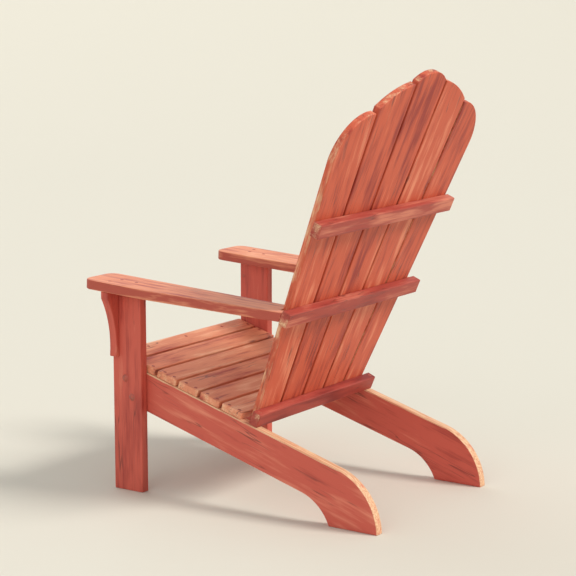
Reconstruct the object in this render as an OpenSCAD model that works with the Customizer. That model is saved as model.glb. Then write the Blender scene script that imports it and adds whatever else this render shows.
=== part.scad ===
// Tall-back Adirondack chair in painted boards, fastened with screws and carriage bolts.
// The front is -Y, the sitter's left is +X and the floor is Z = 0.
// Inside this file Y = 0 is the rear edge of the front legs; placed() centres the chair at the end.

/* [Boards] */
// Thickness of the stringers, legs, arms and back rails
board_t = 25; // [22:1:28]
// Thickness of the seat and back slats
slat_t = 19; // [16:1:21]
// Width over the outer faces of the two side stringers
frame_w = 540; // [500:10:580]

/* [Side stringers] */
// Height of a stringer's top edge at the rear edge of the front leg
seat_h = 315; // [305:5:325]
// Fall of the seat towards the back, in degrees
seat_slope = 16; // [14:1:17]
// Depth of a stringer, square to its top edge
stringer_d = 100; // [90:2:110]
// How far a stringer runs ahead of the leg's rear edge
stringer_front = 80; // [78:1:84]
// Distance from the leg's rear edge back to the heel
heel_y = 700; // [680:5:720]
// Length of the flat sole of the rear foot
sole_len = 140; // [120:5:160]
// Radius of the rounded heel
heel_r = 160; // [156:2:240]
// Radius of the hollow ahead of the sole
toe_r = 126; // [110:1:160]

/* [Front legs] */
// Height of a leg at its rear edge
leg_h = 525; // [510:5:540]
// Width of a leg, seen from the side
leg_w = 92; // [86:1:100]

/* [Arms] */
// Fall of the arms towards the back, in degrees
arm_tilt = 3; // [1:0.5:4]
// How far an arm runs ahead of the leg's rear edge
arm_front = 150; // [135:1:165]
// Width of an arm at the front
arm_w = 120; // [110:1:130]
// How far an arm overhangs the outer face of its leg
arm_overhang = 50; // [44:1:56]
// Radius of the arm's front corners
arm_corner_r = 28; // [15:1:40]
// Height of the bracket under an arm
bracket_h = 170; // [150:5:185]

/* [Seat] */
// Number of seat slats
seat_slats = 6; // [5:1:6]
// Gap between neighbouring slats, in the seat and in the back
slat_gap = 8; // [5:1:10]
// How far the front slat runs ahead of the leg's rear edge
seat_front = 108; // [106:1:112]

/* [Back] */
// Where the rear face of the back meets the stringers, behind the leg's rear edge
back_y = 320; // [310:5:330]
// Lean of the back from upright, in degrees
back_lean = 23; // [21:0.5:25]
// Number of back slats
back_slats = 5; // [5:2:7]
// Length of the longest back slat
back_len = 950; // [920:5:970]
// Width over the back slats at their lower ends
back_w_low = 480; // [460:5:484]
// Width that the slats fan out to at the height of the longest one
back_w_high = 715; // [680:5:725]
// Height of the back rails, seen from behind
rail_h = 38; // [34:1:45]
// Height of the upper rail's middle up the back
upper_rail_s = 562; // [530:1:600]

/* [Hidden] */
$fn = 64;
coral = "#C4513C";
pale_coral = "#D0705A";
zinc = "#A9ABA8";

// Room left round every screw and bolt in its hole
fit = 0.15;
// A length longer than any part, for cutting tools
far = 1500;

// Side stringers, drawn in side view with Y across and Z up
inner_x = frame_w / 2 - board_t;
outer_x = frame_w / 2 + board_t;
stringer_mid_x = frame_w / 2 - board_t / 2;
leg_mid_x = frame_w / 2 + board_t / 2;
toe_y = heel_y - sole_len;
function top_z(y) = seat_h - y * tan(seat_slope);
function under_z(y) = top_z(y) - stringer_d / cos(seat_slope);
// Where an arc of radius r leaves a sloping line to land on the floor at y, with the line z above it there
function arc_start(y, z, r) =
    let (drop = z * cos(seat_slope))
    y + drop * sin(seat_slope) - sqrt(drop * (2 * r - drop)) * cos(seat_slope);
function arc_centre(start, r) = start - r * [sin(seat_slope), cos(seat_slope)];
// The heel's corner reaches this far past its arc before the arc is cut
heel_spare = 20;
heel_corner = [heel_y + heel_spare, top_z(heel_y + heel_spare)];
heel_start_y = arc_start(heel_y, top_z(heel_y), heel_r);
heel_start = [heel_start_y, top_z(heel_start_y)];
toe_start_y = arc_start(toe_y, under_z(toe_y), toe_r);
toe_start = [toe_start_y, under_z(toe_start_y)];

// Arms
arm_out_x = outer_x + arm_overhang;
arm_in_x = arm_out_x - arm_w;
arm_taper_y = 60;
arm_rear_x = 308;
arm_screw_inset = 22;
// The middle of an arm's thickness meets the rear face of the back here
arm_mid_z = leg_h + board_t / 2 / cos(arm_tilt);
arm_end_y = (back_y + (arm_mid_z - top_z(back_y)) * tan(back_lean)) / (1 + tan(arm_tilt) * tan(back_lean));
arm_end_z = arm_mid_z - arm_end_y * tan(arm_tilt);
// The heads of the arm rail screws sit this far behind the front face of the rail
rail_head_depth = 20;

// Brackets
bracket_t = 22;
bracket_reveal = 4;
bracket_w = arm_overhang - bracket_reveal;
bracket_foot_w = 14;
bracket_lip = 14;
bracket_r = 260;
bracket_y = bracket_t / 2 - leg_w;
bracket_screw_drops = [40, 105];

// Apron
apron_t = 19;
apron_y = -stringer_front - apron_t;
apron_screw_drops = [60, 90];

// Seat, along the slope from the leg's rear edge
seat_v0 = -seat_front / cos(seat_slope);
seat_v1 = back_y / cos(seat_slope) - slat_t / cos(back_lean - seat_slope) - slat_gap;
seat_slat_w = (seat_v1 - seat_v0 + slat_gap) / seat_slats - slat_gap;
nose_r = 12;
function seat_v(i) = seat_v0 + (i - 1) * (seat_slat_w + slat_gap);
front_slat_v = -66;
apron_top_v = -(stringer_front + apron_t / 4) / cos(seat_slope);
seat_slat_inset = 2;

// Back, along the slats from the stringers' top edges
function slat_edge(k, s) = k / back_slats * (back_w_low + (back_w_high - back_w_low) * s / back_len);
function slat_k(i) = i - (back_slats + 1) / 2;
centre_tip_r = 110;
side_tip_r = 300;
// Slope of a side tip at its inner corner, in degrees
tip_slope = 10;
// How far the highest point of each tip is below the middle one
tip_drops = [0, 27, 95, 190];
slat_foot_s = 2;
lower_rail_top_s = 40;
// The middle rail is level with the rear ends of the arms
middle_rail_s = (arm_end_z - top_z(back_y)) / cos(back_lean);
rail_overlap = 7;
notch_gap = 2;
notch_x = slat_edge(back_slats / 2, middle_rail_s + board_t / 2) + notch_gap;
// Screws stand this part of a slat's pitch either side of its middle
screw_spread = 0.22;

// Centring
chair_front_y = -arm_front * cos(arm_tilt);
chair_rear_y = max(heel_y, back_y + back_len * sin(back_lean));
mid_y = (chair_front_y + chair_rear_y) / 2;

// Fasteners: [length, shank diameter, head diameter]
slat_screw = [40, 4.5, 9];
frame_screw = [60, 5, 10];
apron_screw = [50, 5, 10];
rail_screw = [70, 5, 10];
bolt_d = 8;
bolt_head_d = 20;
bolt_head_h = 4.5;
bolt_neck = 4;
nut_across = 13;
nut_h = 6.5;
washer_t = 2;
washer_d = 24;
bolt_len = 2 * board_t + washer_t + nut_h + 4;
// Leg bolts, along and square to the stringer's top edge
leg_bolt_at = [[-46, -30], [-12, -70]];

module placed() {
    translate([0, -mid_y, 0]) children();
}

// Draws a side view between two widths
module across(x, w) {
    translate([x, 0, 0]) rotate([90, 0, 90]) linear_extrude(w) children();
}

// The right-hand part is the left-hand one mirrored
module sided(side) {
    mirror([side < 0 ? 1 : 0, 0, 0]) children();
}

// Y runs down the slope of the seat and Z stands square to it
module seat_frame() {
    translate([0, 0, seat_h]) rotate([-seat_slope, 0, 0]) children();
}

// Z runs up the back's rear face and Y points out of it
module back_frame() {
    translate([0, back_y, top_z(back_y)]) rotate([-back_lean, 0, 0]) children();
}

// Z = 0 is the underside of the arms and Y runs along them
module arm_frame() {
    translate([0, 0, leg_h]) rotate([-arm_tilt, 0, 0]) children();
}

// A countersunk screw with its head at the origin, pointing down
module screw(size, room = 0) {
    head_h = (size.z - size.y) / 2;
    rotate_extrude()
        polygon([
            [0, room], [size.z / 2 + room, room], [size.z / 2 + room, 0],
            [size.y / 2 + room, -head_h], [size.y / 2 + room, size.y - size.x],
            [0, -size.x - room]
        ]);
}

// The hole for a screw, open above its head
module screw_hole(size, depth = 1) {
    screw(size, fit);
    cylinder(d = size.z + 2 * fit, h = depth);
}

// Fastener places: each of these puts its children at every place of one kind
module seat_screw_places(i) {
    middle = seat_v(i) + seat_slat_w / 2;
    end_v = i == 1 ? [front_slat_v] : [middle - seat_slat_w / 4, middle + seat_slat_w / 4];
    apron_x = i == 1 ? [-inner_x * 2 / 3, 0, inner_x * 2 / 3] : [];
    places = concat(
        [for (x = [-stringer_mid_x, stringer_mid_x], v = end_v) [x, v, slat_t]],
        [for (x = apron_x) [x, apron_top_v, slat_t]]
    );
    seat_frame() for (p = places) translate(p) children();
}

module back_screw_places(i) {
    back_frame()
        for (s = [lower_rail_top_s / 2, middle_rail_s, upper_rail_s], spread = [-screw_spread, screw_spread])
            translate([slat_edge(slat_k(i) + spread, s), -slat_t, s]) rotate([90, 0, 0]) children();
}

module arm_screw_places() {
    sites = [
        [leg_mid_x, -arm_screw_inset], [leg_mid_x, arm_screw_inset - leg_w],
        [outer_x + bracket_w / 2, bracket_y]
    ];
    arm_frame() for (p = sites) translate([p.x, p.y, board_t]) children();
}

module bracket_screw_places() {
    for (drop = bracket_screw_drops)
        translate([frame_w / 2, bracket_y, leg_h - drop]) rotate([0, -90, 0]) children();
}

module apron_screw_places() {
    for (drop = apron_screw_drops)
        translate([stringer_mid_x, apron_y, top_z(apron_y) - drop]) rotate([90, 0, 0]) children();
}

module lower_rail_screw_places() {
    back_frame() translate([stringer_mid_x, board_t / 2, lower_rail_top_s]) children();
}

module arm_rail_screw_places() {
    arm_frame()
        translate([(notch_x + arm_rear_x) / 2, arm_end_y + rail_head_depth, board_t / 2])
            rotate([-90, 0, 0]) children();
}

module leg_bolt_places() {
    for (p = leg_bolt_at)
        seat_frame() translate([outer_x, p.x, p.y]) rotate([0, 90, 0]) children();
}

module stringer_profile() {
    difference() {
        polygon([
            [-stringer_front, under_z(-stringer_front)], [-stringer_front, top_z(-stringer_front)],
            heel_corner, [heel_corner.x, 0], [toe_y, 0], toe_start
        ]);
        difference() {
            polygon([heel_start, [far, heel_start.y], [far, -heel_r], [heel_y, -heel_r]]);
            translate(arc_centre(heel_start, heel_r)) circle(r = heel_r, $fn = 240);
        }
        intersection() {
            translate(arc_centre(toe_start, toe_r)) circle(r = toe_r, $fn = 160);
            polygon([toe_start, [toe_y, toe_start.y], [toe_y, 0]]);
        }
    }
}

module side_stringer(side) {
    color(coral) placed() sided(side)
        difference() {
            across(inner_x, board_t) stringer_profile();
            for (i = [1 : seat_slats]) seat_screw_places(i) screw_hole(slat_screw);
            apron_screw_places() screw_hole(apron_screw);
            lower_rail_screw_places() screw_hole(frame_screw);
            leg_bolt_places() cylinder(d = bolt_d + 2 * fit, h = far, center = true);
        }
}

module front_leg(side) {
    color(coral) placed() sided(side)
        difference() {
            across(frame_w / 2, board_t)
                polygon([[0, 0], [0, leg_h], [-leg_w, leg_h + leg_w * tan(arm_tilt)], [-leg_w, 0]]);
            arm_screw_places() screw_hole(frame_screw);
            bracket_screw_places() screw_hole(slat_screw);
            leg_bolt_places() {
                cylinder(d = bolt_d + 2 * fit, h = far, center = true);
                cube([bolt_d + 2 * fit, bolt_d + 2 * fit, 2 * (bolt_neck + fit)], center = true);
            }
        }
}

module arm_plan() {
    union() {
        polygon([
            [arm_in_x, arm_corner_r - arm_front], [arm_in_x + arm_corner_r, -arm_front],
            [arm_out_x - arm_corner_r, -arm_front], [arm_out_x, arm_corner_r - arm_front],
            [arm_out_x, arm_taper_y], [arm_rear_x, arm_end_y], [arm_rear_x, 2 * arm_end_y],
            [arm_in_x, 2 * arm_end_y]
        ]);
        for (x = [arm_in_x + arm_corner_r, arm_out_x - arm_corner_r])
            translate([x, arm_corner_r - arm_front]) circle(r = arm_corner_r);
    }
}

module arm(side) {
    color(pale_coral) placed() sided(side)
        difference() {
            arm_frame() linear_extrude(board_t) arm_plan();
            // The rear end lies against the middle rail, and the inner part stops at the slats
            back_frame() translate([-far / 2, 0, 0]) cube([far, far, far]);
            back_frame() translate([0, -slat_t - notch_gap, 0]) cube([notch_x, far, far]);
            arm_screw_places() screw_hole(frame_screw);
            arm_rail_screw_places() screw_hole(rail_screw);
        }
}

module bracket_outline() {
    foot = [bracket_foot_w, -bracket_h];
    lip = [bracket_w, -bracket_lip];
    chord = lip - foot;
    outward = [chord.y, -chord.x] / norm(chord);
    hollow = (foot + lip) / 2 + outward * sqrt(bracket_r ^ 2 - (chord * chord) / 4);
    difference() {
        polygon([[0, -bracket_h], foot, lip, [bracket_w, board_t], [0, board_t]]);
        translate(hollow) circle(r = bracket_r, $fn = 200);
    }
}

module arm_bracket(side) {
    color(coral) placed() sided(side)
        difference() {
            translate([outer_x, bracket_t - leg_w, leg_h])
                rotate([90, 0, 0]) linear_extrude(bracket_t) bracket_outline();
            arm_frame() translate([0, -far / 2, 0]) cube(far);
            arm_screw_places() screw_hole(frame_screw);
            bracket_screw_places() screw_hole(slat_screw);
        }
}

module front_apron() {
    lower_z = under_z(-stringer_front);
    color(coral) placed()
        difference() {
            across(-frame_w / 2, frame_w)
                polygon([
                    [apron_y, lower_z], [apron_y, top_z(apron_y)],
                    [-stringer_front, top_z(-stringer_front)], [-stringer_front, lower_z]
                ]);
            seat_screw_places(1) screw_hole(slat_screw);
            for (side = [-1, 1]) sided(side) apron_screw_places() screw_hole(apron_screw);
        }
}

module seat_slat_profile(i) {
    round_r = i == 1 ? nose_r : 0;
    translate([round_r, 0]) square([seat_slat_w - round_r, slat_t]);
    if (i == 1) {
        square([seat_slat_w, slat_t - nose_r]);
        translate([nose_r, slat_t - nose_r]) circle(r = nose_r);
    }
}

module seat_slat(i) {
    half_len = frame_w / 2 - seat_slat_inset;
    color(pale_coral) placed()
        difference() {
            seat_frame() translate([0, seat_v(i), 0]) across(-half_len, 2 * half_len) seat_slat_profile(i);
            seat_screw_places(i) screw_hole(slat_screw);
        }
}

// Each slat widens upwards and ends in one arc. A side slat's arc rises to its inner corner, close
// to where the next slat's arc starts.
module back_slat_outline(i) {
    k = slat_k(i);
    outermost = abs(k) == slat_k(back_slats);
    tip_s = back_len - tip_drops[abs(k)];
    inner_edge = slat_edge(abs(k) - 0.5, tip_s) + slat_gap / 2;
    outer_edge = slat_edge(abs(k) + 0.5, tip_s) - slat_gap / 2;
    spread = slat_edge(abs(k) + 0.5, 1) - slat_edge(abs(k) + 0.5, 0);
    // The outermost arc runs on from its slat's outer edge
    fitted_r = (outer_edge - inner_edge) / (1 + spread);
    tip_r = k == 0 ? centre_tip_r : outermost ? fitted_r : side_tip_r;
    slope = k == 0 || outermost ? 0 : tip_slope;
    arc_x = k == 0 ? 0 : inner_edge - tip_r * sin(slope);
    arc_s = tip_s - tip_r * cos(slope);
    low = [slat_edge(k - 0.5, slat_foot_s), slat_edge(k + 0.5, slat_foot_s)];
    high = [slat_edge(k - 0.5, back_len), slat_edge(k + 0.5, back_len)];
    intersection() {
        polygon([
            [low[0] + slat_gap / 2, slat_foot_s], [low[1] - slat_gap / 2, slat_foot_s],
            [high[1] - slat_gap / 2, back_len], [high[0] + slat_gap / 2, back_len]
        ]);
        sided(sign(k)) {
            translate([-far / 2, 0]) square([far, arc_s]);
            translate([arc_x, arc_s]) circle(r = tip_r, $fn = 240);
        }
    }
}

module back_slat(i) {
    color(coral) placed()
        difference() {
            back_frame() rotate([90, 0, 0]) linear_extrude(slat_t) back_slat_outline(i);
            back_screw_places(i) screw_hole(slat_screw);
        }
}

module back_rail(s, height, half_len) {
    back_frame() translate([-half_len, 0, s - height / 2]) cube([2 * half_len, board_t, height]);
}

module back_rail_holes() {
    for (i = [1 : back_slats]) back_screw_places(i) screw_hole(slat_screw);
}

module lower_back_rail() {
    sink = 20;
    height = lower_rail_top_s + sink;
    color(pale_coral) placed()
        difference() {
            back_rail(lower_rail_top_s - height / 2, height, frame_w / 2);
            // The lower edge is bevelled to sit on the stringers
            seat_frame() translate([-far / 2, 0, -far]) cube(far);
            back_rail_holes();
            for (side = [-1, 1]) sided(side) lower_rail_screw_places() screw_hole(frame_screw);
        }
}

module middle_back_rail() {
    color(pale_coral) placed()
        difference() {
            back_rail(middle_rail_s, rail_h, arm_rear_x);
            back_rail_holes();
            for (side = [-1, 1]) sided(side) arm_rail_screw_places() screw_hole(rail_screw, board_t);
        }
}

module upper_back_rail() {
    color(pale_coral) placed()
        difference() {
            back_rail(upper_rail_s, rail_h, slat_edge(back_slats / 2, upper_rail_s) + rail_overlap);
            back_rail_holes();
        }
}

module seat_slat_screws() {
    color(zinc) placed() for (i = [1 : seat_slats]) seat_screw_places(i) screw(slat_screw);
}

module back_slat_screws() {
    color(zinc) placed() for (i = [1 : back_slats]) back_screw_places(i) screw(slat_screw);
}

module arm_screws() {
    color(zinc) placed() for (side = [-1, 1]) sided(side) arm_screw_places() screw(frame_screw);
}

module bracket_screws() {
    color(zinc) placed() for (side = [-1, 1]) sided(side) bracket_screw_places() screw(slat_screw);
}

module apron_screws() {
    color(zinc) placed() for (side = [-1, 1]) sided(side) apron_screw_places() screw(apron_screw);
}

module lower_rail_screws() {
    color(zinc) placed() for (side = [-1, 1]) sided(side) lower_rail_screw_places() screw(frame_screw);
}

module arm_rail_screws() {
    color(zinc) placed() for (side = [-1, 1]) sided(side) arm_rail_screw_places() screw(rail_screw);
}

// A carriage bolt: a domed head, a square neck let into the leg, and a round shank
module leg_bolt() {
    dome_r = (bolt_head_d ^ 2 / 4 + bolt_head_h ^ 2) / (2 * bolt_head_h);
    intersection() {
        translate([0, 0, bolt_head_h - dome_r]) sphere(r = dome_r);
        cylinder(d = bolt_head_d, h = bolt_head_h + 1);
    }
    translate([-bolt_d / 2, -bolt_d / 2, -bolt_neck]) cube([bolt_d, bolt_d, bolt_neck]);
    translate([0, 0, -bolt_len]) cylinder(d = bolt_d, h = bolt_len);
}

module leg_bolts() {
    color(zinc) placed() for (side = [-1, 1]) sided(side) leg_bolt_places() leg_bolt();
}

module leg_bolt_washers() {
    color(zinc) placed()
        for (side = [-1, 1]) sided(side) leg_bolt_places()
            translate([0, 0, -2 * board_t - washer_t])
                difference() {
                    cylinder(d = washer_d, h = washer_t);
                    cylinder(d = bolt_d + 2 * fit, h = far, center = true);
                }
}

module leg_bolt_nuts() {
    color(zinc) placed()
        for (side = [-1, 1]) sided(side) leg_bolt_places()
            translate([0, 0, -2 * board_t - washer_t - nut_h])
                difference() {
                    cylinder(d = nut_across / cos(30), h = nut_h, $fn = 6);
                    cylinder(d = bolt_d + 2 * fit, h = far, center = true);
                }
}

side_stringer(1);  // side_stringer_left
side_stringer(-1);  // side_stringer_right
front_leg(1);  // front_leg_left
front_leg(-1);  // front_leg_right
arm(1);  // arm_left
arm(-1);  // arm_right
arm_bracket(1);  // arm_bracket_left
arm_bracket(-1);  // arm_bracket_right
front_apron();
for (i = [1 : seat_slats])
    seat_slat(i);
for (i = [1 : back_slats])
    back_slat(i);
lower_back_rail();
middle_back_rail();
upper_back_rail();
seat_slat_screws();
back_slat_screws();
arm_screws();
bracket_screws();
apron_screws();
lower_rail_screws();
arm_rail_screws();
leg_bolts();
leg_bolt_washers();
leg_bolt_nuts();
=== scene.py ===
"""Looks of the tall-back Adirondack chair: eased boards under weathered, brushed coral paint."""

import math
import random

import bmesh
import bpy
import numpy as np
from mathutils import Matrix, Vector


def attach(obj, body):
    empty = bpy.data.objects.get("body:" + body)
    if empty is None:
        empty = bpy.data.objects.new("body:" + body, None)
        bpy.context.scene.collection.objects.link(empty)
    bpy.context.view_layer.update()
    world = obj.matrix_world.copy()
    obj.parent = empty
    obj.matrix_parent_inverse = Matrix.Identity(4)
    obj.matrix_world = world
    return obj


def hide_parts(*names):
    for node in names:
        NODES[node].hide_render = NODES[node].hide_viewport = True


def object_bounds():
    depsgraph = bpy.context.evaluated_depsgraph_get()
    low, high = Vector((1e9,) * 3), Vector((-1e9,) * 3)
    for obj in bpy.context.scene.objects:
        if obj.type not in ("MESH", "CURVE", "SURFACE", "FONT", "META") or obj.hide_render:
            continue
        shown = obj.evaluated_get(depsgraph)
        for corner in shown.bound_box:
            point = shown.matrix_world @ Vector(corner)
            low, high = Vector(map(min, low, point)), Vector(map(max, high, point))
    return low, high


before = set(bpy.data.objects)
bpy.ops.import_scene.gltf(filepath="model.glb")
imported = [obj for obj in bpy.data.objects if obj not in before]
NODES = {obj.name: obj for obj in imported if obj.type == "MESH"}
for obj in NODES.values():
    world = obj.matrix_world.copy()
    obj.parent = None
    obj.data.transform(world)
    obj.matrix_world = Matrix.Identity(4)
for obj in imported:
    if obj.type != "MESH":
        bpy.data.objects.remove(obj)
CAD_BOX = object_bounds()

# Boards, in metres: the radius of an eased edge, and the bands of wear and shade inside it
EDGE_ROUND = 0.0025
WEAR_BAND = 0.004
SHADE_BAND = 0.004
# A facet narrower than this beside a corner is joined to the next one round the board's outline
CORNER_ROOM = 0.016
THICKEST = 0.03
# A face narrower than the first has no bands, and one wider than the second has both
NARROW_FACE = 0.016
WIDE_FACE = 0.045
WELD = 5e-5
# Faces that meet at less than the first angle are one flat face, and at more than the second an edge
FLAT = math.radians(0.8)
SHARP = math.radians(28)

# How far the paint has worn, from 0 to 1; the stringers' faces that look up and to the rear, towards the
# key light, go further to cream, partly as wear and partly as a painted highlight
EDGE_WEAR = 0.46
END_WEAR = 0.46
BACK_EDGE_WEAR = 0.5
STRINGER_WEAR_AND_HIGHLIGHT = 0.66
# A face looks up, to the rear or along its board where its normal's part that way is more than this
UP = 0.25
REARWARD = 0.6
ENDWAYS = 0.8
# A back slat's face is its edge where its normal's part to the rear is less than this
EDGEWAYS = 0.5
# A board's own shade of paint lies this far either side of its group's
TONE_SPREAD = 0.09
# The arms' edges and sides are painted this much deeper than their tops: painted shade where the light from
# above falls less
ARM_SIDE_PAINTED_SHADE = -0.32

# A hole runs this far past its fastener's tip and head and out from its axis, in metres
TIP_ROOM = 0.002
HEAD_ROOM = 0.012
HOLE_REACH = 0.007
# A shank's corners lie further than this off its axis and in from the head's rim
AXIS_ROOM = 0.001
RIM_ROOM = 0.0005
HEAD_PROUD = 0.0005
# A screw's crown and the cross recess in it, as parts of the head's radius: a cross has a reach and a
# half width
CROWN = 0.8
RECESS = (0.5, 0.11)
RECESS_FLOOR = (0.42, 0.07)
RECESS_DEPTH = 0.3

# The studio's flat floor and the sweep that rises round it, in metres
FLOOR_R = 7.0
RIM_RUN = 9.0
RIM_RISE = 3.5
FLOOR_SIDES = 96
RIM_STEPS = 16
FLOOR_COLOUR = (214, 211, 200)
SURROUND_COLOUR = (238, 238, 234)
SURROUND_STRENGTH = 0.66
# Suns: where each shines from, how wide its source looks in degrees, its strength and its colour. The key
# is behind the chair, and the fills are on the sitter's left and in front.
SUNS = {
    "key": ((-1.2, 3.4, 4.0), 20, 2.4, (1.0, 0.96, 0.9)),
    "side_fill": ((4.5, 0.6, 1.8), 50, 0.95, (0.97, 0.98, 1.0)),
    "front_fill": ((-2.0, -4.5, 2.2), 60, 0.8, (0.97, 0.98, 1.0)),
}

# The camera stands behind the chair, on the sitter's left and a little above the arms
CAMERA_AZIMUTH = math.radians(124.4)
CAMERA_ELEVATION = math.radians(10)
CAMERA_DISTANCE = 4.956
CAMERA_TARGET = Vector((0.065, 0.025, 0.537))
CAMERA_LENS = 121

# Materials, and the slot of the record that each one finishes
# Painted light: the coral paint comes as a copy with painted shade for the frame's boards and a lighter
# copy with painted light for the seat and arms
SHADED_CORAL = "coral_deep"
MIDDLE = "coral_middle"
LIT_CORAL = "coral_pale"
RAIL = "coral_rail"
HEADS = "painted_heads"
ZINC = "dull_zinc"
SLOTS = {
    SHADED_CORAL: "coral_paint",
    MIDDLE: "coral_paint",
    LIT_CORAL: "pale_coral_paint",
    RAIL: "pale_coral_paint",
    HEADS: "zinc_steel",
    ZINC: "zinc_steel",
}

# Paints: the dark, middle and light shades, as on screen, and the contrast between them. The chair has one
# coral paint, and these are lit and shaded copies of it: painted light on the seat and arms, whose tops
# face the light, painted shade on the stringers, legs, brackets and apron, and other shades of it on the
# back slats and the rails.
PAINTS = {
    SHADED_CORAL: ((150, 46, 40), (200, 88, 72), (226, 138, 112), 0.5),
    MIDDLE: ((150, 46, 34), (200, 89, 60), (226, 138, 106), 0.74),
    LIT_CORAL: ((176, 76, 60), (222, 140, 106), (242, 184, 148), 0.8),
    RAIL: ((128, 38, 32), (164, 64, 52), (206, 122, 98), 0.7),
}
# Painted shade: a darker red laid in patches in a band along the edges of each face
EDGE_SHADE_COLOUR = (126, 40, 34)
CRACK_COLOUR = (96, 34, 28)
# The cream of bare primer, which also paints the highlight on the stringers' upward and rearward faces
PRIMER_AND_HIGHLIGHT_COLOURS = ((206, 144, 110), (232, 194, 154))
# Noise in the paint: its frequency along, across and through a board, per metre
STROKES = (6, 48, 48)
WASHES = (4, 11, 11)
BRISTLES = (7, 280, 280)
EDGE_SHADE_PATCHES = (3, 60, 60)
RUBS = (14, 46, 46)
CRACK_WAVES = (2.6, 40, 40)
CRACKED_PATCHES = (5, 17, 17)
# Strokes and bristles count this much beside the washes
STROKE_WEIGHT = 1.5
BRISTLE_WEIGHT = 0.5


def named(prefix):
    """The CAD nodes whose names start with prefix, in order."""
    return sorted(name for name in NODES if name.startswith(prefix))


SCREW_NODES = [name for name in NODES if name.endswith("_screws")]
BACK_SLATS = [name for name in named("back_slat_") if name not in SCREW_NODES]
OUTER_SLATS = (BACK_SLATS[0], BACK_SLATS[-1])
SEAT_SLATS = [name for name in named("seat_slat_") if name not in SCREW_NODES]
ARMS = ["arm_left", "arm_right"]
BACK_RAILS = ["lower_back_rail", "middle_back_rail", "upper_back_rail"]
FRAME_BOARDS = named("side_stringer") + named("front_leg") + named("arm_bracket") + ["front_apron"]
# The frame's boards take the copy of the paint with painted shade, and the seat slats and arms the copy
# with painted light
BOARD_PAINT = {
    **dict.fromkeys(FRAME_BOARDS, SHADED_CORAL),
    **dict.fromkeys(BACK_SLATS, MIDDLE),
    **dict.fromkeys(SEAT_SLATS + ARMS, LIT_CORAL),
    **dict.fromkeys(BACK_RAILS, RAIL),
}


# ---------------------------------------------------------------- materials


def srgb(red, green, blue):
    """A colour given as 0 to 255 on screen, as the linear values that a shader takes."""
    return [((c / 255 + 0.055) / 1.055) ** 2.4 if c > 10 else c / 3294 for c in (red, green, blue)] + [1.0]


def set_inputs(node, inputs):
    """Sets a node's inputs: a socket is linked, anything else is a value."""
    for key, value in inputs.items():
        socket = node.inputs[key]
        if isinstance(value, bpy.types.NodeSocket):
            node.id_data.links.new(value, socket)
        else:
            socket.default_value = value
    return node


def add(tree, kind, inputs=None, **settings):
    """Adds a shader node with its settings and inputs."""
    node = tree.nodes.new("ShaderNode" + kind)
    for key, value in settings.items():
        setattr(node, key, value)
    return set_inputs(node, inputs or {})


def math_node(tree, operation, *values):
    """The result of a maths node."""
    return add(tree, "Math", dict(enumerate(values)), operation=operation).outputs[0]


def mix_colour(tree, factor, first, second):
    """Two colours mixed by a factor."""
    node = add(tree, "Mix", None, data_type="RGBA")
    set_inputs(node, {0: factor, 6: first, 7: second})
    return node.outputs[2]


def stretched_noise(tree, vector, stretch, detail, roughness=0.55):
    """Noise drawn out along a board: stretch is its frequency along, across and through the board."""
    scaled = add(tree, "VectorMath", {0: vector, 1: stretch}, operation="MULTIPLY").outputs[0]
    inputs = {"Vector": scaled, "Scale": 1.0, "Detail": detail, "Roughness": roughness}
    return add(tree, "TexNoise", inputs).outputs[0]


def smooth_step(tree, value, low, high):
    """0 at low and before it, 1 at high and past it, and smooth between them. Either may be the larger."""
    node = add(tree, "MapRange", {0: value, 1: low, 2: high}, interpolation_type="SMOOTHSTEP")
    return node.outputs[0]


def colour_ramp(tree, factor, stops):
    """A colour ramp through (position, colour) stops."""
    ramp = add(tree, "ValToRGB", {0: factor})
    elements = ramp.color_ramp.elements
    while len(elements) < len(stops):
        elements.new(0.5)
    for element, (position, colour) in zip(elements, stops):
        element.position = position
        element.color = colour
    return ramp.outputs[0]


def empty_material(name):
    """A new material with a Principled shader and nothing else."""
    material = bpy.data.materials.new(name)
    material.use_nodes = True
    tree = material.node_tree
    return material, tree, tree.nodes["Principled BSDF"]


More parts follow.
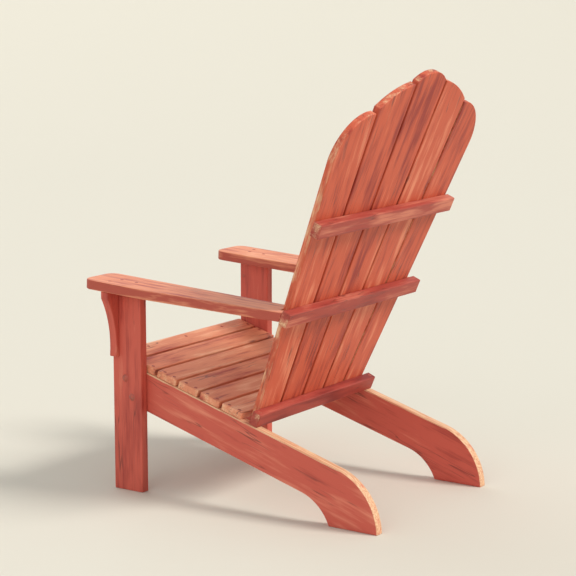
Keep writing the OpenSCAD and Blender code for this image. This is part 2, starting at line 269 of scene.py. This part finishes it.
def board_paint(name, dark, middle, light, contrast):
    """Brushed coral paint, streaked along each board, darkened by painted shade in a band along its faces'
    edges, and worn to a cream primer at its edges; the cream also paints the highlights carried with the
    wear.
    """
    material, tree, shader = empty_material(name)
    grain = add(tree, "Attribute", attribute_name="grain").outputs["Vector"]
    wear = add(tree, "Attribute", attribute_name="wear").outputs["Fac"]
    rim = add(tree, "Attribute", attribute_name="rim").outputs["Fac"]
    tone = add(tree, "Attribute", attribute_name="tone").outputs["Fac"]

    strokes = stretched_noise(tree, grain, STROKES, 3, 0.6)
    washes = stretched_noise(tree, grain, WASHES, 2)
    bristles = stretched_noise(tree, grain, BRISTLES, 3)
    blend = math_node(tree, "MULTIPLY_ADD", strokes, STROKE_WEIGHT, washes)
    blend = math_node(tree, "MULTIPLY_ADD", bristles, BRISTLE_WEIGHT, blend)
    # Noise averages a half, and this keeps the blend's average there whatever the contrast
    average = (STROKE_WEIGHT + 1 + BRISTLE_WEIGHT) / 2
    blend = math_node(tree, "MULTIPLY_ADD", blend, contrast, tone)
    blend = math_node(tree, "ADD", blend, 0.5 - average * contrast)
    colour = colour_ramp(tree, blend, [(0.2, dark), (0.47, middle), (0.57, middle), (0.84, light)])

    # Painted shade: patches of darker red in the band along each face's edges
    edge_shade = stretched_noise(tree, grain, EDGE_SHADE_PATCHES, 3, 0.6)
    edge_shade = math_node(tree, "MULTIPLY", smooth_step(tree, edge_shade, 0.42, 0.62), rim)
    edge_shade = math_node(tree, "MULTIPLY", edge_shade, 0.75)
    colour = mix_colour(tree, edge_shade, colour, srgb(*EDGE_SHADE_COLOUR))

    # Hairline cracks run along the grain where one slow wave of noise crosses its middle
    wave = math_node(tree, "SUBTRACT", stretched_noise(tree, grain, CRACK_WAVES, 2), 0.5)
    crack = smooth_step(tree, math_node(tree, "ABSOLUTE", wave), 0.016, 0.002)
    cracked = smooth_step(tree, stretched_noise(tree, grain, CRACKED_PATCHES, 2), 0.5, 0.6)
    crack = math_node(tree, "MULTIPLY", crack, cracked)
    colour = mix_colour(tree, math_node(tree, "MULTIPLY", crack, 0.62), colour, srgb(*CRACK_COLOUR))

    # The cream primer shows where the paint has worn, and on the stringers' upward and rearward faces it is
    # partly a painted highlight
    rub = stretched_noise(tree, grain, RUBS, 4, 0.65)
    worn = math_node(tree, "MULTIPLY_ADD", rub, 0.75, wear)
    primer_and_highlight = smooth_step(tree, worn, 0.8, 1.02)
    bare = mix_colour(tree, smooth_step(tree, bristles, 0.35, 0.65), *[srgb(*c) for c in PRIMER_AND_HIGHLIGHT_COLOURS])
    colour = mix_colour(tree, primer_and_highlight, colour, bare)

    relief = math_node(tree, "MULTIPLY_ADD", bristles, 0.7, strokes)
    relief = math_node(tree, "MULTIPLY_ADD", primer_and_highlight, -0.5, relief)
    relief = math_node(tree, "MULTIPLY_ADD", crack, -0.8, relief)
    bump = add(tree, "Bump", {"Strength": 0.4, "Distance": 0.0012, "Height": relief})
    gloss = add(tree, "MapRange", {0: relief, 1: 0.3, 2: 1.2, 3: 0.44, 4: 0.64}).outputs[0]
    set_inputs(shader, {"Base Color": colour, "Roughness": gloss, "Normal": bump.outputs[0]})
    return material


def painted_steel(name):
    """Fastener heads brushed over with the same paint, with steel showing through the rubbed spots."""
    material, tree, shader = empty_material(name)
    place = add(tree, "TexCoord").outputs["Object"]
    spots = stretched_noise(tree, place, (420, 420, 420), 4, 0.6)
    bare = smooth_step(tree, spots, 0.56, 0.66)
    mottle = stretched_noise(tree, place, (90, 90, 90), 3)
    paint = mix_colour(tree, mottle, srgb(150, 58, 48), srgb(196, 92, 72))
    colour = mix_colour(tree, bare, paint, srgb(138, 132, 124))
    rough = math_node(tree, "MULTIPLY_ADD", spots, 0.3, 0.3)
    bump = add(tree, "Bump", {"Strength": 0.3, "Distance": 0.0005, "Height": spots})
    set_inputs(shader, {"Base Color": colour, "Metallic": bare, "Roughness": rough})
    set_inputs(shader, {"Normal": bump.outputs[0]})
    return material


def zinc(name):
    """Zinc-plated steel, dulled outdoors."""
    material, tree, shader = empty_material(name)
    place = add(tree, "TexCoord").outputs["Object"]
    spangle = stretched_noise(tree, place, (260, 260, 260), 4, 0.6)
    colour = mix_colour(tree, spangle, srgb(120, 122, 120), srgb(188, 190, 188))
    rough = math_node(tree, "MULTIPLY_ADD", spangle, 0.3, 0.28)
    shader.inputs["Metallic"].default_value = 1.0
    set_inputs(shader, {"Base Color": colour, "Roughness": rough})
    return material


def make_looks():
    """Every material of the chair with the record's slot that it finishes, by name."""
    materials = {}
    for name, (*shades, contrast) in PAINTS.items():
        materials[name] = board_paint(name, *[srgb(*shade) for shade in shades], contrast)
    materials[HEADS] = painted_steel(HEADS)
    materials[ZINC] = zinc(ZINC)
    return {name: (material, SLOTS[name]) for name, material in materials.items()}


# ---------------------------------------------------------------- fasteners


def loose_parts(mesh):
    """The corners of each separate solid in a mesh, as arrays."""
    bm = bmesh.new()
    bm.from_mesh(mesh)
    bmesh.ops.remove_doubles(bm, verts=bm.verts, dist=WELD)
    left = set(bm.verts)
    parts = []
    for start in bm.verts:
        if start not in left:
            continue
        left.discard(start)
        part, queue = [start], [start]
        while queue:
            for edge in queue.pop().link_edges:
                for vert in edge.verts:
                    if vert in left:
                        left.discard(vert)
                        part.append(vert)
                        queue.append(vert)
        parts.append(np.array([vert.co for vert in part]))
    bm.free()
    return sorted(parts, key=lambda part: tuple(np.round(part.mean(0), 4)))


class Fastener:
    """The axis and sizes of one screw or bolt. Its axis points out of the head."""

    def __init__(self, corners):
        middle = corners.mean(0)
        axis = np.linalg.svd(corners - middle, full_matrices=False)[2][0]
        along, off = self.measure(corners, middle, axis)
        if along[off.argmax()] < 0:
            axis, along = -axis, -along
        self.middle, self.axis = middle, axis
        self.low, self.high = along.min(), along.max()
        self.head_r = off.max()
        self.shank_r = np.median(off[(off > AXIS_ROOM) & (off < self.head_r - RIM_ROOM)])

    @staticmethod
    def measure(points, middle, axis):
        """How far points lie along an axis and away from it."""
        along = (points - middle) @ axis
        return along, np.linalg.norm(points - middle - np.outer(along, axis), axis=1)

    def holds(self, points):
        """Which points lie on the wall of this fastener's hole."""
        along, off = self.measure(points, self.middle, self.axis)
        return (along > self.low - TIP_ROOM) & (along < self.high + HEAD_ROOM) & (off < HOLE_REACH)

    def place(self):
        """The frame with its origin at the middle of the head's outer face and Z out of it."""
        turn = Vector(self.axis).to_track_quat("Z", "Y").to_matrix().to_4x4()
        return Matrix.Translation(Vector(self.middle + self.axis * self.high)) @ turn


def fasteners(name):
    """Every fastener in a CAD node."""
    return [Fastener(part) for part in loose_parts(NODES[name].data)]


def ring(bm, radius, height, count=24):
    """A closed ring of corners round the Z axis."""
    turns = [2 * math.pi * i / count for i in range(count)]
    return [bm.verts.new((radius * math.cos(a), radius * math.sin(a), height)) for a in turns]


def loop_edges(bm, verts):
    """The edges that join corners into a closed loop."""
    return [bm.edges.new((verts[i - 1], verts[i])) for i in range(len(verts))]


def skin(bm, upper, lower):
    """The faces between two loops with equal numbers of corners."""
    for i in range(len(upper)):
        bm.faces.new((upper[i - 1], upper[i], lower[i], lower[i - 1]))


def cross(bm, head, size, height):
    """The outline of a driver's cross in a head of this radius."""
    reach, half_width = head * size[0], head * size[1]
    corner = [(reach, -half_width), (reach, half_width), (half_width, half_width)]
    points = []
    for quarter in range(4):
        cosine, sine = math.cos(quarter * math.pi / 2), math.sin(quarter * math.pi / 2)
        points += [(x * cosine - y * sine, x * sine + y * cosine) for x, y in corner]
    return [bm.verts.new((x, y, height)) for x, y in points]


def screw_mesh(sample):
    """A countersunk wood screw with a crowned head, a cross recess and a pointed shank."""
    bm = bmesh.new()
    head, shank, length = sample.head_r, sample.shank_r, sample.high - sample.low
    crown = ring(bm, head * CROWN, HEAD_PROUD)
    recess = cross(bm, head, RECESS, HEAD_PROUD)
    floor = cross(bm, head, RECESS_FLOOR, HEAD_PROUD - head * RECESS_DEPTH)
    bmesh.ops.triangle_fill(bm, edges=loop_edges(bm, crown) + loop_edges(bm, recess), use_beauty=True)
    skin(bm, recess, floor)
    bm.faces.new(floor)
    profile = [(head, HEAD_PROUD / 3), (head, -HEAD_PROUD), (shank, shank - head)]
    profile += [(shank, 2 * shank - length), (shank / 8, -length)]
    rims = [crown] + [ring(bm, radius, height) for radius, height in profile]
    for upper, lower in zip(rims, rims[1:]):
        skin(bm, upper, lower)
    bm.faces.new(rims[-1])
    bmesh.ops.recalc_face_normals(bm, faces=bm.faces)
    mesh = bpy.data.meshes.new("screw")
    bm.to_mesh(mesh)
    bm.free()
    return mesh


def finish_screws(name, look):
    """Builds the finished screws that stand for a CAD node of screws."""
    screws = fasteners(name)
    sample = screw_mesh(screws[0])
    bm = bmesh.new()
    for screw in screws:
        first = len(bm.verts)
        bm.from_mesh(sample)
        bm.verts.ensure_lookup_table()
        bmesh.ops.transform(bm, matrix=screw.place(), verts=bm.verts[first:])
    mesh = bpy.data.meshes.new(name + "_finished")
    bm.to_mesh(mesh)
    bm.free()
    bpy.data.meshes.remove(sample)
    add_piece(name, "_set", mesh, look)


# ---------------------------------------------------------------- boards


def closed_outline(node, holes):
    """A copy of a board's CAD mesh with its screw and bolt holes filled and its flat faces whole."""
    bm = bmesh.new()
    bm.from_mesh(node.data)
    bmesh.ops.remove_doubles(bm, verts=bm.verts, dist=WELD)
    bm.verts.index_update()
    corners = np.array([v.co for v in bm.verts])
    on_wall = np.array([hole.holds(corners) for hole in holes])
    on_wall = on_wall[on_wall.any(axis=1)]
    walls = [f for f in bm.faces if on_wall[:, [v.index for v in f.verts]].all(axis=1).any()]
    bmesh.ops.delete(bm, geom=walls, context="FACES")
    bmesh.ops.holes_fill(bm, edges=[e for e in bm.edges if e.is_boundary], sides=0)
    bmesh.ops.recalc_face_normals(bm, faces=bm.faces)
    bmesh.ops.dissolve_limit(bm, angle_limit=FLAT, verts=bm.verts, edges=bm.edges)
    return bm


def grain_frame(bm):
    """A board's middle and its axes: along, across and through."""
    corners = np.array([v.co for v in bm.verts])
    middle = (corners.min(0) + corners.max(0)) / 2
    # The widest flat face gives the direction through the board
    through = max(bm.faces, key=lambda face: face.calc_area()).normal.copy()
    flat = corners - middle
    flat = flat - np.outer(flat @ np.array(through), np.array(through))
    along = Vector(np.linalg.svd(flat, full_matrices=False)[2][0])
    if along[max(range(3), key=lambda axis: abs(along[axis]))] < 0:
        along.negate()
    return Vector(middle), Matrix((along, through.cross(along), through))


def side_wear_and_highlight(name, normal, along):
    """How far the paint has worn on a face that looks this way, from 0 to 1, with a painted highlight added
    on the stringers' faces that look up and to the rear.
    """
    # Partly wear and partly a painted highlight: the stringers' faces towards the light from above and
    # behind turn pale
    if name.startswith("side_stringer") and (normal.z > UP or normal.y > REARWARD):
        return STRINGER_WEAR_AND_HIGHLIGHT
    if name in OUTER_SLATS and abs(normal.y) < EDGEWAYS:
        return BACK_EDGE_WEAR * abs(normal.x)
    if abs(normal.dot(along)) > ENDWAYS and not name.startswith("front_leg"):
        return END_WEAR
    return 0.0


def face_width(face):
    """About how wide a long face is."""
    return 2 * face.calc_area() / face.calc_perimeter()


def make_room(bm):
    """Joins each narrow facet beside a corner to the next one, so that the bands round a face fit."""
    while True:
        joints = []
        for face in bm.faces:
            gentle = [e for e in face.edges if e.is_manifold and e.calc_face_angle() < SHARP]
            width = face.calc_area() / max(e.calc_length() for e in face.edges)
            if len(gentle) == 1 and width < CORNER_ROOM and gentle[0].calc_length() < THICKEST:
                joints.append(gentle[0])
        if not joints:
            return
        # Two facets may share a joint, which is listed once
        bmesh.ops.dissolve_edges(bm, edges=list(dict.fromkeys(joints)), use_verts=True)


def ease_edges(bm):
    """Rounds a board's sharp edges and rings each flat face with narrow bands for wear and shade."""
    sharp = [e for e in bm.edges if e.is_manifold and e.calc_face_angle() > SHARP]
    eased = bmesh.ops.bevel(
        bm, geom=sharp, offset=EDGE_ROUND, segments=3, profile=0.5, affect="EDGES", clamp_overlap=True
    )
    rounded = set(eased["faces"])
    flats = [f for f in bm.faces if f not in rounded]
    narrow = [f for f in flats if face_width(f) < NARROW_FACE]
    flats = [f for f in flats if face_width(f) >= NARROW_FACE]
    bmesh.ops.inset_region(bm, faces=flats, thickness=WEAR_BAND, use_boundary=True, use_even_offset=True)
    worn = {v for f in [*rounded, *narrow] if f.is_valid for v in f.verts}
    wide = [f for f in flats if face_width(f) > WIDE_FACE]
    shaded = worn | {v for f in flats for v in f.verts}
    bmesh.ops.inset_region(bm, faces=wide, thickness=SHADE_BAND, use_boundary=True, use_even_offset=True)
    return worn, shaded


def add_piece(name, ending, mesh, look):
    """Shows a finished mesh in the place of a CAD node."""
    material, slot = look
    mesh.materials.append(material)
    piece = bpy.data.objects.new(name + ending, mesh)
    bpy.context.scene.collection.objects.link(piece)
    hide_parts(name)
    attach(piece, "root")
    return piece


def finish_board(name, number, holes, look):
    """Builds the finished board that stands for a CAD node: eased edges, grain direction, tone with painted
    shade on the arms' sides, a band of painted shade along each face's edges, and wear with a painted
    highlight on the stringers.
    """
    rng = random.Random(number)
    bm = closed_outline(NODES[name], holes)
    middle, axes = grain_frame(bm)
    make_room(bm)
    worn, shaded = ease_edges(bm)

    grain = bm.verts.layers.float_vector.new("grain")
    wear = bm.verts.layers.float.new("wear")
    rim = bm.verts.layers.float.new("rim")
    tone = bm.verts.layers.float.new("tone")
    seed = Vector((rng.uniform(0, 90), rng.uniform(0, 40), rng.uniform(0, 40)))
    board_tone = rng.uniform(-TONE_SPREAD, TONE_SPREAD)
    # Painted shade: the arms' faces that don't look up or down are painted deeper
    side_shade = ARM_SIDE_PAINTED_SHADE if name in ARMS else 0.0
    bm.normal_update()
    for vert in bm.verts:
        vert[grain] = axes @ (vert.co - middle) + seed
        vert[tone] = board_tone + side_shade * (1 - max(abs(face.normal.z) for face in vert.link_faces))
        # rim marks the band along each face's edges that takes the painted shade
        vert[rim] = float(vert in shaded)
        side = max(side_wear_and_highlight(name, face.normal, axes[0]) for face in vert.link_faces)
        vert[wear] = max(side, EDGE_WEAR) if vert in worn else side

    mesh = bpy.data.meshes.new(name + "_finished")
    bm.to_mesh(mesh)
    bm.free()
    mesh.shade_smooth()
    board = add_piece(name, "_board", mesh, look)
    board.modifiers.new("flat_faces", "WEIGHTED_NORMAL")


# ---------------------------------------------------------------- studio


def make_floor():
    """A plain pale floor that sweeps up into a low rim far round the chair."""
    bm = bmesh.new()
    loops = []
    for turn in np.linspace(0, math.pi / 2, RIM_STEPS):
        radius, height = FLOOR_R + RIM_RUN * math.sin(turn), RIM_RISE * (1 - math.cos(turn))
        loops.append(ring(bm, radius, height, FLOOR_SIDES))
    bm.faces.new(loops[0])
    for inner, outer in zip(loops, loops[1:]):
        skin(bm, outer, inner)
    bmesh.ops.recalc_face_normals(bm, faces=bm.faces)
    mesh = bpy.data.meshes.new("floor")
    bm.to_mesh(mesh)
    bm.free()
    mesh.shade_smooth()
    floor = bpy.data.objects.new("floor", mesh)
    bpy.context.scene.collection.objects.link(floor)
    material, _, shader = empty_material("floor_paper")
    shader.inputs["Base Color"].default_value = srgb(*FLOOR_COLOUR)
    shader.inputs["Roughness"].default_value = 0.9
    mesh.materials.append(material)


def soft_sun(name, place, aim, spread, strength, colour):
    """Even light from one side of the studio: spread is how wide its source looks, in degrees."""
    light = bpy.data.lights.new(name, "SUN")
    light.angle = math.radians(spread)
    light.energy = strength
    light.color = colour
    lamp = bpy.data.objects.new(name, light)
    lamp.location = place
    lamp.rotation_euler = (Vector(aim) - Vector(place)).to_track_quat("-Z", "Y").to_euler()
    bpy.context.scene.collection.objects.link(lamp)


def make_lights(middle):
    """Soft studio light: a pale surround and the suns."""
    world = bpy.data.worlds.new("studio")
    world.use_nodes = True
    background = world.node_tree.nodes["Background"]
    background.inputs["Color"].default_value = srgb(*SURROUND_COLOUR)
    background.inputs["Strength"].default_value = SURROUND_STRENGTH
    bpy.context.scene.world = world
    for name, (place, spread, strength, colour) in SUNS.items():
        soft_sun(name, place, middle, spread, strength, colour)


def make_camera():
    """The camera, looking at its target from its azimuth and elevation."""
    back = Vector((
        math.sin(CAMERA_AZIMUTH) * math.cos(CAMERA_ELEVATION),
        -math.cos(CAMERA_AZIMUTH) * math.cos(CAMERA_ELEVATION),
        math.sin(CAMERA_ELEVATION),
    ))
    data = bpy.data.cameras.new("camera")
    data.lens = CAMERA_LENS
    camera = bpy.data.objects.new("camera", data)
    camera.location = CAMERA_TARGET + back * CAMERA_DISTANCE
    camera.rotation_euler = (-back).to_track_quat("-Z", "Y").to_euler()
    bpy.context.scene.collection.objects.link(camera)
    bpy.context.scene.camera = camera


# ---------------------------------------------------------------- the chair


def make_chair():
    """Finishes every board and every fastener."""
    looks = make_looks()
    holes = [hole for name in [*SCREW_NODES, "leg_bolts"] for hole in fasteners(name)]
    for number, name in enumerate(sorted(BOARD_PAINT)):
        finish_board(name, number, holes, looks[BOARD_PAINT[name]])
    for name in SCREW_NODES:
        finish_screws(name, looks[HEADS])
    for name in ("leg_bolts", "leg_bolt_washers", "leg_bolt_nuts"):
        NODES[name].data.materials.clear()
        NODES[name].data.materials.append(looks[HEADS if name == "leg_bolts" else ZINC][0])


bpy.context.scene.view_settings.view_transform = "Standard"
centre = (Vector(CAD_BOX[0]) + Vector(CAD_BOX[1])) / 2
make_camera()
make_chair()
make_floor()
make_lights(centre)
